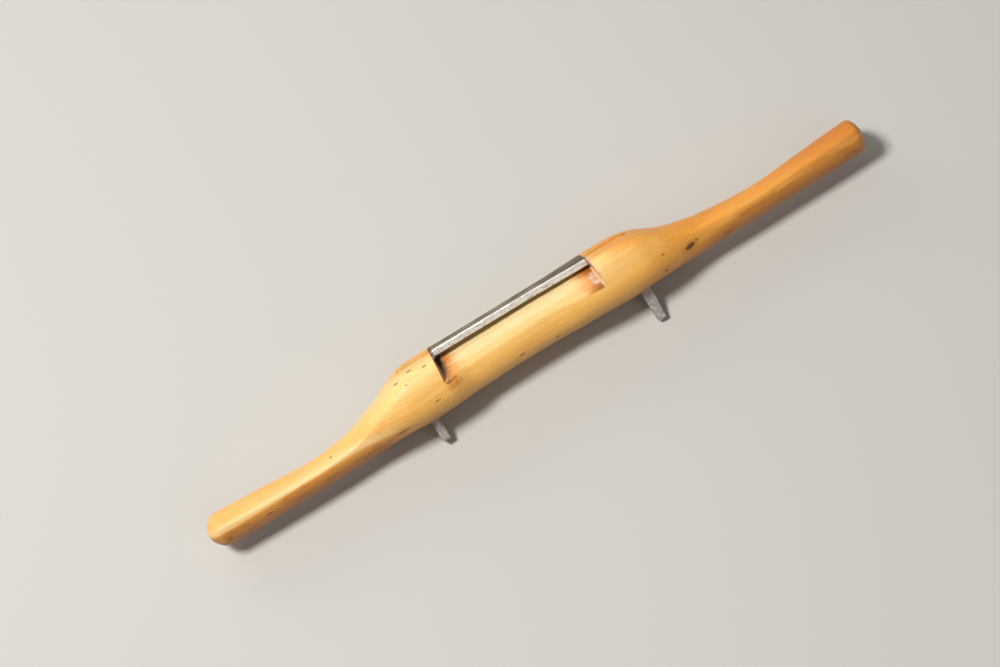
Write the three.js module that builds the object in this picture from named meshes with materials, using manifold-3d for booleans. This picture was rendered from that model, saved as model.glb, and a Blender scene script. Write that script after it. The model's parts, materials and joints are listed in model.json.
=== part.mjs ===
// A wooden spokeshave with a tanged iron, lying on its front with one tang tip on the bench.
//
// Both pieces are modelled in the tool's own frame, in millimetres:
//   x  along the stock, from the left handle to the right handle
//   y  from the front of the stock (the toe) towards its back, where the shavings leave
//   z  from the sole, at 0, up to the top, where the tangs stick out
// The exported group then turns that frame over and lays the tool on the XY plane.

import * as THREE from "three";
import { mergeGeometries, mergeVertices } from "three/addons/utils/BufferGeometryUtils.js";
import Module from "manifold-3d";

// ---- driving dimensions ----

const LEFT_END = -131.4; // ends of the two handles
const RIGHT_END = 135.9;
const LEFT_DOME = { depth: 5.4, squareness: 1.7 }; // rounding of the handles' ends
const RIGHT_DOME = { depth: 3.2, squareness: 2.3 };

const TOP_HEIGHT = 20.1; // sole to top at the middle of the body
const FRONT = -15; // the body's front face
const BACK_AT_WALLS = 13; // the body's back face beside the throat
const BACK_AT_MIDDLE = 9.9; // the same face at the middle of the throat
const HANDLE_HALF_WIDTH = 8.3; // handles, front to back
const RIDGE_DROP_LEFT = 1.3; // how far the ridge on each handle's back lies below its middle
const RIDGE_DROP_RIGHT = 2.2;
const HANDLE_FROM_LEFT = -74; // where the body has faded into each handle
const HANDLE_FROM_RIGHT = 70;
const BODY_TO_LEFT = -47; // where the body starts to fade
const BODY_TO_RIGHT = 45;
const BODY_FRONT_HEIGHT = 8.8; // height at which the body's front face stands out furthest
const BODY_BACK_HEIGHT = 11; // the same for its back face
const BODY_CREST = -1; // where the body is highest, front to back

// How square each quarter of a section is: 2 for an ellipse, and more for a squarer corner.
const HANDLE_SQUARENESS = { topBack: 1.7, topFront: 2.1, soleFront: 2.1, soleBack: 1.6 };
const BODY_SQUARENESS = { topBack: 2.1, topFront: 2.1, soleFront: 6, soleBack: 3.4 };
const MIDDLE_SOLE_FRONT = 3.2; // the body's soleFront at the middle of the throat

const WALL_LEFT = -32.8; // walls of the throat at the sole
const WALL_RIGHT = 30.4;
const WALL_FLARE = 0.08; // outward lean of the walls, mm per mm of height
const HOLLOW_FADE_LEFT = 10; // the hollow in the back face dies out over these lengths
const HOLLOW_FADE_RIGHT = 22;
const MOUTH = -9.3; // front edge of the mouth
const RAMP_ANGLE = THREE.MathUtils.degToRad(23.1); // the ramp, from the sole
const RAMP_FOOT = -10.7; // where the ramp's plane would meet the sole
const RAMP_START = -3.3; // from the mouth to here the throat curves up into the ramp
const THROAT_RISE = 2.3; // height that the curve heads for at the mouth

const BLADE_LEFT = -31.9; // ends of the blade, between the throat's walls
const BLADE_RIGHT = 30.05;
const IRON_BACK = 1.3; // back edge of the iron, and the back faces of its tangs
const CUTTING_EDGE = -8.3;
const IRON_THICKNESS = 2.4;
const EDGE_THICKNESS = 0.3;
const BEVEL_START = -3; // the bevel runs from here to the cutting edge
const PAD_FRONT = -3.9; // narrow ends of the iron, sunk in the shoulders
const PAD_LEFT_END = -46.2;
const PAD_RIGHT_END = 46.8;
const PAD_SINK = 0.85; // how much deeper in the sole the ends lie than the blade
const PAD_JOIN = 1; // how far each end runs on over the blade
const TANG_ROOT = PAD_SINK + IRON_THICKNESS;

// Tangs taper from the iron to the tip: width is along the stock, depth front to back.
const TANG_LEFT = { x: -43.4, height: 29.6, rootWidth: 3.9, tipWidth: 3.2, rootDepth: 4.0, tipDepth: 3.2 };
const TANG_RIGHT = { x: 42.9, height: 33.3, rootWidth: 6.0, tipWidth: 3.2, rootDepth: 4.6, tipDepth: 3.2 };
const TANG_TIP_CHAMFER = 0.5;

const GAP = 0.3; // clearance between the two pieces
const SINK_TRAVEL = 0.5; // how much deeper than flush the iron can be driven

const SECTION_POINTS = 32; // points round one section of the stock
const STATION_STEP = 4.4; // spacing of the sections, halved in the shoulders
const SHOULDER_FROM = 42; // where the shoulders are, on both sides of the middle
const SHOULDER_TO = 72;

// Height of the top over the sole, along the stock.
const TOP_LINE = smoothLine([
  [LEFT_END, 21.1],
  [-88, 21.4],
  [-68, 21.2],
  [-52, 20.8],
  [-43, 21.4],
  [-20, 20.5],
  [-5, TOP_HEIGHT],
  [15, 20.5],
  [38, 21.4],
  [49, 20.9],
  [85, 20.5],
  [120, 20.25],
  [RIGHT_END, 20.0],
]);

// Height of the sole side, along the stock: under 0 means cut flat at the sole.
const SOLE_LINE = smoothLine([
  [LEFT_END, 8.0],
  [-110, 9.4],
  [-88, 10.75],
  [-76, 9.8],
  [-70, 8.65],
  [-62, 6.55],
  [-57.5, 5.05],
  [-53.5, 3.15],
  [-49.5, 1.6],
  [-45, 0.0],
  [-41, -0.4],
  [36, -0.6],
  [42, -0.2],
  [46, 0.35],
  [50, 1.5],
  [54, 3.2],
  [57, 4.55],
  [61, 5.75],
  [66, 6.8],
  [71, 7.8],
  [95, 9.6],
  [112, 8.45],
  [RIGHT_END, 6.9],
]);

const PROUD = 40; // a length that reaches past the stock on every side

// ---- curves ----

/** A smooth curve through [x, value] points that never overshoots them, as a function of x. */
function smoothLine(points) {
  const slope = points.slice(1).map(([x, v], i) => (v - points[i][1]) / (x - points[i][0]));
  const tangent = points.map((_, i) => {
    const before = slope[i - 1] ?? slope[i];
    const after = slope[i] ?? slope[i - 1];
    return before * after <= 0 ? 0 : (2 * before * after) / (before + after);
  });
  return (x) => {
    const last = points.length - 2;
    const i = Math.min(last, Math.max(0, points.findIndex(([px]) => px > x) - 1));
    const k = x >= points[last + 1][0] ? last : i;
    const [x0, v0] = points[k];
    const [x1, v1] = points[k + 1];
    const span = x1 - x0;
    const f = Math.min(1, Math.max(0, (x - x0) / span));
    const rise = f * f * (3 - 2 * f);
    const start = f * (1 - f) * (1 - f) * span * tangent[k];
    const end = -f * f * (1 - f) * span * tangent[k + 1];
    return v0 + (v1 - v0) * rise + start + end;
  };
}

const mix = (a, b, f) => a + (b - a) * f;
const fade = THREE.MathUtils.smoothstep;

/** 1 on the body, 0 on the handles. */
function bodyShare(x) {
  return x < 0
    ? fade(x, HANDLE_FROM_LEFT, BODY_TO_LEFT)
    : 1 - fade(x, BODY_TO_RIGHT, HANDLE_FROM_RIGHT);
}

/** 1 at the middle of the throat, 0 at its walls. */
function throatShare(x) {
  return x < 0
    ? fade(x, WALL_LEFT, WALL_LEFT + HOLLOW_FADE_LEFT)
    : 1 - fade(x, WALL_RIGHT - HOLLOW_FADE_RIGHT, WALL_RIGHT);
}

// ---- stock ----

/**
 * The stock's section at x: its four extreme points and how square each quarter between them is.
 * A quarter's exponent is 2 for an ellipse and more for a squarer corner.
 */
function section(x) {
  const body = bodyShare(x);
  const throat = throatShare(x);
  const sole = SOLE_LINE(x);
  const top = TOP_LINE(x);
  const middle = (sole + top) / 2;
  const ridge = middle - (x < 0 ? RIDGE_DROP_LEFT : RIDGE_DROP_RIGHT);
  const bodyBack = mix(BACK_AT_WALLS, BACK_AT_MIDDLE, throat);
  const bodySoleFront = mix(BODY_SQUARENESS.soleFront, MIDDLE_SOLE_FRONT, throat);
  return {
    sole,
    top,
    front: mix(-HANDLE_HALF_WIDTH, FRONT, body),
    back: mix(HANDLE_HALF_WIDTH, bodyBack, body),
    frontHeight: mix(middle, BODY_FRONT_HEIGHT, body),
    backHeight: mix(ridge, BODY_BACK_HEIGHT, body),
    crestAt: mix(0, BODY_CREST, body),
    squareness: {
      topBack: mix(HANDLE_SQUARENESS.topBack, BODY_SQUARENESS.topBack, body),
      topFront: mix(HANDLE_SQUARENESS.topFront, BODY_SQUARENESS.topFront, body),
      soleFront: mix(HANDLE_SQUARENESS.soleFront, bodySoleFront, body),
      soleBack: mix(HANDLE_SQUARENESS.soleBack, BODY_SQUARENESS.soleBack, body),
    },
  };
}

/** The point of section s at angle a, with 0 at the back and a quarter turn at the top. */
function sectionPoint(s, a) {
  const c = Math.cos(a);
  const r = Math.sin(a);
  const half = c >= 0 ? "Back" : "Front";
  const power = 2 / s.squareness[(r >= 0 ? "top" : "sole") + half];
  const centreY = r >= 0 ? s.crestAt : 0;
  const centreZ = c >= 0 ? s.backHeight : s.frontHeight;
  const reachY = c >= 0 ? s.back - centreY : centreY - s.front;
  const reachZ = r >= 0 ? s.top - centreZ : centreZ - s.sole;
  return [
    centreY + Math.sign(c) * reachY * Math.abs(c) ** power,
    centreZ + Math.sign(r) * reachZ * Math.abs(r) ** power,
  ];
}

/** Positions along the stock at which it has a section, closer in the shoulders. */
function stations() {
  const list = [];
  let x = LEFT_END + LEFT_DOME.depth;
  const end = RIGHT_END - RIGHT_DOME.depth;
  while (x < end) {
    list.push(x);
    const inShoulder = Math.abs(x) > SHOULDER_FROM && Math.abs(x) < SHOULDER_TO;
    x += inShoulder ? STATION_STEP / 2 : STATION_STEP;
  }
  if (end - list[list.length - 1] < 1) list.pop();
  list.push(end);
  return list;
}

/** Rings of points from end to end: domed tips, then one ring at each station. */
function stockRings() {
  const ring = (x, scale) => {
    const s = section(x);
    const centre = (s.sole + s.top) / 2;
    return Array.from({ length: SECTION_POINTS }, (_, i) => {
      const [y, z] = sectionPoint(s, (2 * Math.PI * i) / SECTION_POINTS);
      return [y * scale, centre + (z - centre) * scale];
    });
  };
  const dome = (base, reach, squareness) =>
    [1, 2, 3, 4].map((k) => {
      const a = (k / 5) * (Math.PI / 2);
      const x = base + reach * Math.sin(a) ** (2 / squareness);
      return { x, points: ring(base, Math.cos(a) ** (2 / squareness)) };
    });
  const inner = stations();
  const [left, right] = [inner[0], inner[inner.length - 1]];
  return [
    ...dome(left, LEFT_END - left, LEFT_DOME.squareness).reverse(),
    ...inner.map((x) => ({ x, points: ring(x, 1) })),
    ...dome(right, RIGHT_END - right, RIGHT_DOME.squareness),
  ];
}

/** The closed surface through the rings, with a point on the axis at each end. */
function loft(rings, firstTip, lastTip) {
  const positions = [];
  const index = [];
  const n = SECTION_POINTS;
  for (const { x, points } of rings) {
    for (const [y, z] of points) positions.push(x, y, z);
  }
  for (let r = 0; r + 1 < rings.length; r++) {
    for (let i = 0; i < n; i++) {
      const a = r * n + i;
      const b = r * n + ((i + 1) % n);
      index.push(a, b, b + n, a, b + n, a + n);
    }
  }
  const first = rings.length * n;
  const last = first + 1;
  const lastRing = (rings.length - 1) * n;
  positions.push(...firstTip, ...lastTip);
  for (let i = 0; i < n; i++) {
    const j = (i + 1) % n;
    index.push(first, j, i);
    index.push(last, lastRing + i, lastRing + j);
  }
  const geometry = new THREE.BufferGeometry();
  geometry.setAttribute("position", new THREE.Float32BufferAttribute(positions, 3));
  geometry.setIndex(index);
  return geometry;
}

function stockBlank() {
  const tip = (x) => [x, 0, (SOLE_LINE(x) + TOP_LINE(x)) / 2];
  return loft(stockRings(), tip(LEFT_END), tip(RIGHT_END));
}

// ---- simple solids ----

/** A block between two corners. */
function block([x0, y0, z0], [x1, y1, z1]) {
  const geometry = new THREE.BoxGeometry(x1 - x0, y1 - y0, z1 - z0);
  return geometry.translate((x0 + x1) / 2, (y0 + y1) / 2, (z0 + z1) / 2);
}

/** A bar along x with a section drawn in [y, z]. */
function bar(shape, x0, x1) {
  const options = { depth: x1 - x0, bevelEnabled: false, curveSegments: 6 };
  const geometry = new THREE.ExtrudeGeometry(shape, options);
  const turn = new THREE.Matrix4().set(0, 0, 1, x0, 1, 0, 0, 0, 0, 1, 0, 0, 0, 0, 0, 1);
  return geometry.applyMatrix4(turn);
}

/** A four-sided spike at x, from a root at z0 to a tip at z1, each { z, width, front, back }. */
function spike(x, root, tip) {
  const geometry = new THREE.BoxGeometry(2, 2, 2);
  const at = geometry.attributes.position;
  for (let i = 0; i < at.count; i++) {
    const { z, width, front, back } = at.getZ(i) > 0 ? tip : root;
    at.setXYZ(i, x + (at.getX(i) * width) / 2, at.getY(i) > 0 ? back : front, z);
  }
  return geometry;
}

/** Pulls the ends of a bar's section outwards as it rises, for walls that lean. */
function leanEnds(geometry, lean) {
  const at = geometry.attributes.position;
  const middle = (WALL_LEFT + WALL_RIGHT) / 2;
  for (let i = 0; i < at.count; i++) {
    const out = Math.sign(at.getX(i) - middle) * lean * at.getZ(i);
    at.setX(i, at.getX(i) + out);
  }
  return geometry;
}

// ---- iron ----

/** The tang's section at height z, widened all round by margin. */
function tangAt(tang, z, margin = 0) {
  const f = (z - TANG_ROOT) / (tang.height - TANG_ROOT);
  return {
    z,
    width: mix(tang.rootWidth, tang.tipWidth, f) + 2 * margin,
    front: IRON_BACK - mix(tang.rootDepth, tang.tipDepth, f) - margin,
    back: IRON_BACK + margin,
  };
}

/** A tapered tang, with its tip chamfered all round. */
function tangSolids(tang) {
  const shoulder = tang.height - TANG_TIP_CHAMFER;
  const tip = { ...tangAt(tang, shoulder, -TANG_TIP_CHAMFER), z: tang.height };
  return [
    spike(tang.x, tangAt(tang, TANG_ROOT - IRON_THICKNESS / 2), tangAt(tang, shoulder)),
    spike(tang.x, tangAt(tang, shoulder - 0.1), tip),
  ];
}

/** One of the iron's narrow ends. */
function pad(x0, x1) {
  return block([x0, PAD_FRONT, PAD_SINK], [x1, IRON_BACK, TANG_ROOT]);
}

function ironSolids() {
  const blade = new THREE.Shape();
  blade.moveTo(CUTTING_EDGE, 0);
  blade.lineTo(IRON_BACK, 0);
  blade.lineTo(IRON_BACK, IRON_THICKNESS);
  blade.lineTo(BEVEL_START, IRON_THICKNESS);
  blade.lineTo(CUTTING_EDGE, EDGE_THICKNESS);
  return [
    bar(blade, BLADE_LEFT, BLADE_RIGHT),
    pad(PAD_LEFT_END, BLADE_LEFT + PAD_JOIN),
    pad(BLADE_RIGHT - PAD_JOIN, PAD_RIGHT_END),
    ...tangSolids(TANG_LEFT),
    ...tangSolids(TANG_RIGHT),
  ];
}

// ---- cuts in the stock ----

/** The throat: everything between its walls that is below the ramp. */
function throatCut() {
  const rampHeight = (y) => (y - RAMP_FOOT) * Math.tan(RAMP_ANGLE);
  const outline = new THREE.Shape();
  outline.moveTo(MOUTH, -PROUD);
  outline.lineTo(PROUD, -PROUD);
  outline.lineTo(PROUD, rampHeight(PROUD));
  outline.lineTo(RAMP_START, rampHeight(RAMP_START));
  outline.quadraticCurveTo(MOUTH, THROAT_RISE, MOUTH, 0);
  return leanEnds(bar(outline, WALL_LEFT, WALL_RIGHT), WALL_FLARE);
}

/** The sunk seat for one of the iron's ends, deep enough for the iron to be set below flush. */
function seatCut(x0, x1) {
  return block(
    [x0 - GAP, PAD_FRONT - GAP, -PROUD],
    [x1 + GAP, IRON_BACK + GAP, TANG_ROOT + SINK_TRAVEL + GAP],
  );
}

function tangHole(tang) {
  return spike(tang.x, tangAt(tang, TANG_ROOT, GAP), tangAt(tang, tang.height, GAP));
}

// ---- booleans ----

const wasm = await Module();
wasm.setup();

/** A geometry as a manifold solid, on its merged vertices. */
function solid(geometry) {
  const bare = geometry.clone();
  bare.deleteAttribute("normal");
  bare.deleteAttribute("uv");
  const merged = mergeVertices(bare, 1e-4);
  const mesh = new wasm.Mesh({
    numProp: 3,
    vertProperties: merged.attributes.position.array,
    triVerts: Uint32Array.from(merged.index.array),
  });
  return new wasm.Manifold(mesh);
}

/** A manifold solid as a geometry with flat-shaded faces. */
function geometryOf(manifold) {
  const mesh = manifold.getMesh();
  const geometry = new THREE.BufferGeometry();
  geometry.setAttribute("position", new THREE.BufferAttribute(mesh.vertProperties, 3));
  geometry.setIndex(new THREE.BufferAttribute(mesh.triVerts, 1));
  const flat = geometry.toNonIndexed();
  flat.computeVertexNormals();
  return flat;
}

function buildStock() {
  const belowSole = block([-2 * PROUD, -PROUD, -PROUD], [2 * PROUD, PROUD, 0]);
  const cuts = [
    belowSole,
    throatCut(),
    seatCut(PAD_LEFT_END, BLADE_LEFT + PAD_JOIN),
    seatCut(BLADE_RIGHT - PAD_JOIN, PAD_RIGHT_END),
    tangHole(TANG_LEFT),
    tangHole(TANG_RIGHT),
  ];
  const body = cuts.reduce((wood, cut) => wood.subtract(solid(cut)), solid(stockBlank()));
  return geometryOf(body);
}

function buildIron() {
  const [first, ...others] = ironSolids();
  return geometryOf(others.reduce((iron, piece) => iron.add(solid(piece)), solid(first)));
}

// ---- laying the tool down ----

/** The lowest height of a geometry when the tool is rolled by the given angle past a quarter turn. */
function lowest(geometry, roll) {
  const at = geometry.attributes.position;
  let low = Infinity;
  for (let i = 0; i < at.count; i++) {
    low = Math.min(low, at.getY(i) * Math.cos(roll) - at.getZ(i) * Math.sin(roll));
  }
  return low;
}

/** The roll at which the stock's front and the longer tang touch the bench together. */
function restingRoll(stock, iron) {
  let low = 0;
  let high = Math.PI / 4;
  for (let i = 0; i < 50; i++) {
    const roll = (low + high) / 2;
    if (lowest(iron, roll) > lowest(stock, roll)) low = roll;
    else high = roll;
  }
  return (low + high) / 2;
}

const stockGeometry = buildStock();
const ironGeometry = buildIron();

const stock = new THREE.Mesh(
  stockGeometry,
  new THREE.MeshStandardMaterial({ color: 0xd9a862, roughness: 0.45, metalness: 0 }),
);
stock.name = "stock";

const iron = new THREE.Mesh(
  ironGeometry,
  new THREE.MeshStandardMaterial({ color: 0x8f8b86, roughness: 0.4, metalness: 1 }),
);
iron.name = "iron";

const tool = new THREE.Group();
tool.add(stock, iron);
tool.rotation.x = Math.PI / 2 + restingRoll(stockGeometry, ironGeometry);

// The origin is the middle of the bottom of the tool's bounding box.
tool.updateMatrixWorld(true);
const both = mergeGeometries([stockGeometry.clone(), ironGeometry.clone()]);
both.applyMatrix4(tool.matrixWorld);
both.computeBoundingBox();
const { min, max } = both.boundingBox;
tool.position.set(-(min.x + max.x) / 2, -(min.y + max.y) / 2, -min.z);

const lying = new THREE.Group();
lying.add(tool);

export default lying;
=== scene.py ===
import json
import math

import bpy
import numpy as np
from mathutils import Matrix, Vector


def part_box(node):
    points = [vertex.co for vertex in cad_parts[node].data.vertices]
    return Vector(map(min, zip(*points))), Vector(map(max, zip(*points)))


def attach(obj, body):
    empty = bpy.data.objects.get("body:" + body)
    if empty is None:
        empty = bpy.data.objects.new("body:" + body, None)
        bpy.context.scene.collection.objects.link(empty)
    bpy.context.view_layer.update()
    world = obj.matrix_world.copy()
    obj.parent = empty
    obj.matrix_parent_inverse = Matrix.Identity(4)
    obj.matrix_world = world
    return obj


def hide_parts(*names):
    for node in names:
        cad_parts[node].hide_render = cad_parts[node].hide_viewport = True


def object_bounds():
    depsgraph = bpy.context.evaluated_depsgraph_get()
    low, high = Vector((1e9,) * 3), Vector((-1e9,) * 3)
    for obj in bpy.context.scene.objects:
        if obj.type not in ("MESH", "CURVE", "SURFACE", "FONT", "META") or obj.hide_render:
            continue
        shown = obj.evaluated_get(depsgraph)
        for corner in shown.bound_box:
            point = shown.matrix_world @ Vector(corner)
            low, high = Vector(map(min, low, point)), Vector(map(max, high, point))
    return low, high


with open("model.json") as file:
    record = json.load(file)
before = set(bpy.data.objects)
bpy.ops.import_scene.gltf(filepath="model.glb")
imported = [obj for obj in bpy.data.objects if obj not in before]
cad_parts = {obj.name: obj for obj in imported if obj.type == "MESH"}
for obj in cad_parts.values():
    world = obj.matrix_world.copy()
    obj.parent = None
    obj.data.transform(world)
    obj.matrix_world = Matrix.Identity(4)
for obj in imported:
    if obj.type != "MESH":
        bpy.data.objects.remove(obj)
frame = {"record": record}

cad_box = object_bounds()

# ---------------------------------------------------------------------------
# The tool's own frame, in millimetres: x along the stock to the right handle,
# y from the front to the back, z from the sole up to the top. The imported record
# says how it lies in the row's frame.
# ---------------------------------------------------------------------------

MM = 0.001
SOLE_MOUNT_Y = -3.5  # where the mount on the iron's sole sits in the tool's frame

JOINT = frame["record"]["behaviour"]["joints"][0]
MOUNTS = {mount["name"]: mount for mount in frame["record"]["mounts"]}

UP = -Vector(JOINT["axis"])
ALONG = Vector((1, 0, 0))
BACKWARD = UP.cross(ALONG)
ORIGIN = Vector(MOUNTS["iron_sole"]["pos_m"]) - SOLE_MOUNT_Y * MM * BACKWARD
TOOL_AXES = np.array([ALONG, BACKWARD, UP])

# ---- driving dimensions, mm ----

LEFT_END = (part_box("stock")[0].x - ORIGIN.x) / MM
RIGHT_END = (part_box("stock")[1].x - ORIGIN.x) / MM
LEFT_DOME = {"depth": 5.4, "squareness": 1.7}  # the rounding of each handle's end
RIGHT_DOME = {"depth": 3.2, "squareness": 2.3}

FRONT = -15.0  # y of the body's front
BACK_AT_WALLS = 13.0  # y of its back, beside the throat and at the throat's middle
BACK_AT_MIDDLE = 9.9
HANDLE_HALF_WIDTH = 8.3
RIDGE_DROP_LEFT = 1.3  # how far each handle's ridge lies under the middle of its height
RIDGE_DROP_RIGHT = 2.2
HANDLE_FROM_LEFT = -74.0  # x where each handle starts to swell into the body
HANDLE_FROM_RIGHT = 70.0
BODY_TO_LEFT = -47.0  # x where each swelling is complete
BODY_TO_RIGHT = 45.0
BODY_FRONT_HEIGHT = 8.8  # z where the body's front and back are widest
BODY_BACK_HEIGHT = 11.0
BODY_CREST = -1.0  # y of the highest line of its top

# How square each quarter of a section is: 2 for an ellipse, and more for a squarer corner.
HANDLE_SQUARENESS = {"top_back": 1.7, "sole_back": 1.6, "sole_front": 2.1}
BODY_SQUARENESS = {"top_back": 2.1, "sole_back": 3.4, "sole_front": 6.0}
TOP_FRONT_SQUARENESS = 2.1
MIDDLE_SOLE_FRONT = 3.2  # the body's sole_front at the middle of the throat
SOLE_SOFTNESS = 0.9  # how gently the flat of the sole runs into its back edge

WALL_LEFT = -32.8  # x of the throat's walls, at the sole
WALL_RIGHT = 30.4
WALL_LEAN = 0.08  # how far the walls lean apart, mm per mm of height
LEAN_REACH = 14.0  # how far from a wall its lean still shifts the sections
WALL_EDGE = 0.3  # rounding of the walls' outer edges
HOLLOW_FADE_LEFT = 10.0  # how far from each wall the back's hollow is complete
HOLLOW_FADE_RIGHT = 22.0
MOUTH = -9.3  # y of the mouth's front edge
RAMP_SLOPE = math.tan(math.radians(23.1))
RAMP_FOOT = -10.7  # y where the ramp's plane would meet the sole
RAMP_START = -3.3  # y where the ramp bends down to the mouth
RAMP_START_SHIFT = 1.4  # how much further back it bends where the blade lies deepest
THROAT_RISE = 2.3  # height towards which that bend is drawn
ARRIS_WEAR_LEFT = 0.6  # how much the ramp's arris is worn round, towards each wall
ARRIS_WEAR_RIGHT = 0.2

BLADE_LEFT = -31.9  # ends of the blade, between the walls
BLADE_RIGHT = 30.05
IRON_BACK = 1.3  # y of the iron's back edge
CUTTING_EDGE = -8.3
BEVEL_START = -3.0
IRON_THICKNESS = 2.4
EDGE_THICKNESS = 0.3
BACK_EDGE_CROWN = 0.3  # how far the back edge bulges, as filing leaves it
PAD_FRONT = -3.9  # y of the front of the iron's two ends, the pads
PAD_LEFT_END = -46.2
PAD_RIGHT_END = 46.8
PAD_SINK = 0.85  # how deep the pads lie in the sole
PAD_SLOPE = 1.0  # the blade slopes down to the pads over this length
PAD_END_TAPER = 0.93
FORGE_DEPTH = 0.022  # size of each wave left by forging
FORGE_INSET = 0.07  # keeps those waves inside the iron's outline
TANG_ROOT = PAD_SINK + IRON_THICKNESS
TANGS = [
    {"x": -43.4, "height": 29.6, "root_width": 3.9, "tip_width": 3.2, "root_depth": 4.0},
    {"x": 42.9, "height": 33.3, "root_width": 6.0, "tip_width": 3.2, "root_depth": 4.6},
]
TANG_TIP_DEPTH = 3.2
TANG_CORNER = 0.45  # rounding of the tangs' corners and of their tips
TANG_TIP_ROUNDING = 0.55
TIP_WEAR = 0.11  # how much the tangs' tips are worn down
SINK_TRAVEL = 0.5  # how much deeper the iron can be driven
HOLE_GAP = 0.09  # clearance round the tangs and round the pads
SEAT_GAP = 0.1
BLADE_PROUD = 0.35  # how far the blade's left end stands out of the sole
BLADE_LIFT = 0.85  # how much deeper the blade's back edge lies at its right end
EDGE_LIFT_SHARE = 0.35  # how much of that lift the cutting edge has
# The lift comes in two smooth steps, as (share of it, x where it starts, x where it ends).
LIFT_STEPS = [(0.3, -30, 10), (0.7, 2, 34)]

# ---- mesh fineness ----

CUT_POINTS = 64  # points of a section from the arris down to the mouth
SKIN_POINTS = 104  # the other points of the section
STATION_STEP = 0.8  # distance between sections
SECTION_SAMPLES = 4320  # points of a section before it is split and resampled
WALL_RING_STEP = 0.05  # distance on the full side between the rings that close a wall


def smooth_line(points):
    """A smooth curve through (x, value) points that never overshoots, for arrays of x."""
    px, pv = np.array(points, float).T
    slope = np.diff(pv) / np.diff(px)
    before = np.concatenate([slope[:1], slope])
    after = np.concatenate([slope, slope[-1:]])
    flat = before * after <= 0
    total = np.where(flat, 1.0, before + after)
    tangent = np.where(flat, 0.0, 2 * before * after / total)

    def value(x):
        x = np.clip(x, px[0], px[-1])
        i = np.clip(np.searchsorted(px, x, side="right") - 1, 0, len(px) - 2)
        span = px[i + 1] - px[i]
        f = (x - px[i]) / span
        rise = f * f * (3 - 2 * f)
        start = f * (1 - f) ** 2 * span * tangent[i]
        end = -f * f * (1 - f) * span * tangent[i + 1]
        return pv[i] + (pv[i + 1] - pv[i]) * rise + start + end

    return value


TOP_LINE = smooth_line(
    [
        (LEFT_END, 21.1),
        (-88, 21.4),
        (-68, 21.2),
        (-52, 20.8),
        (-43, 21.4),
        (-20, 20.5),
        (-5, 20.1),
        (15, 20.5),
        (38, 21.4),
        (49, 20.9),
        (85, 20.5),
        (120, 20.25),
        (RIGHT_END, 20.0),
    ]
)

SOLE_LINE = smooth_line(
    [
        (LEFT_END, 8.0),
        (-110, 9.4),
        (-88, 10.75),
        (-76, 9.8),
        (-70, 8.65),
        (-62, 6.55),
        (-57.5, 5.05),
        (-53.5, 3.15),
        (-49.5, 1.6),
        (-45, 0.0),
        (-41, -0.4),
        (36, -0.6),
        (42, -0.2),
        (46, 0.35),
        (50, 1.5),
        (54, 3.2),
        (57, 4.55),
        (61, 5.75),
        (66, 6.8),
        (71, 7.8),
        (95, 9.6),
        (112, 8.45),
        (RIGHT_END, 6.9),
    ]
)


def fade(x, low, high):
    """0 below low, 1 above high, smooth between."""
    f = np.clip((x - low) / (high - low), 0, 1)
    return f * f * (3 - 2 * f)


def mix(a, b, f):
    return a + (b - a) * f


def body_share(x):
    """1 on the body, 0 on the handles."""
    left = fade(x, HANDLE_FROM_LEFT, BODY_TO_LEFT)
    right = 1 - fade(x, BODY_TO_RIGHT, HANDLE_FROM_RIGHT)
    return np.where(x < 0, left, right)


def throat_share(x):
    """1 at the middle of the throat, 0 at its walls."""
    left = fade(x, WALL_LEFT, WALL_LEFT + HOLLOW_FADE_LEFT)
    right = 1 - fade(x, WALL_RIGHT - HOLLOW_FADE_RIGHT, WALL_RIGHT)
    return np.where(x < 0, left, right)


def to_row(points):
    """Points of the tool's frame, in mm, as points of the row's frame, in metres."""
    return np.array(ORIGIN) + MM * np.asarray(points, float) @ TOOL_AXES


# ---------------------------------------------------------------------------
# Meshes
# ---------------------------------------------------------------------------


def skin(name, rings, tips):
    """A closed mesh through rings of points, with a single point at each end, in mm."""
    count, per_ring, _ = rings.shape
    points = np.concatenate([rings.reshape(-1, 3), np.array(tips, float)])
    ring = np.arange(count - 1)[:, None] * per_ring
    here = np.arange(per_ring)[None, :]
    beside = (here + 1) % per_ring
    quads = np.stack(
        [ring + here, ring + here + per_ring, ring + beside + per_ring, ring + beside], -1
    )
    first = count * per_ring
    last_ring = (count - 1) * per_ring
    faces = quads.reshape(-1, 4).tolist()
    for i in range(per_ring):
        j = (i + 1) % per_ring
        faces.append([first, i, j])
        faces.append([first + 1, last_ring + j, last_ring + i])
    mesh = bpy.data.meshes.new(name)
    mesh.from_pydata(to_row(points).tolist(), [], faces)
    mesh.validate()
    mesh.update()
    piece = bpy.data.objects.new(name, mesh)
    bpy.context.scene.collection.objects.link(piece)
    return piece


def face_outwards(piece):
    """Turns a closed mesh's faces outwards if its signed volume says they face in."""
    mesh = piece.data
    mesh.calc_loop_triangles()
    corners = np.zeros(len(mesh.vertices) * 3)
    mesh.vertices.foreach_get("co", corners)
    corners = corners.reshape(-1, 3)
    index = np.zeros(len(mesh.loop_triangles) * 3, int)
    mesh.loop_triangles.foreach_get("vertices", index)
    a, b, c = (corners[index.reshape(-1, 3)[:, k]] for k in range(3))
    if np.einsum("ij,ij->i", a, np.cross(b, c)).sum() < 0:
        mesh.flip_normals()


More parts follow.
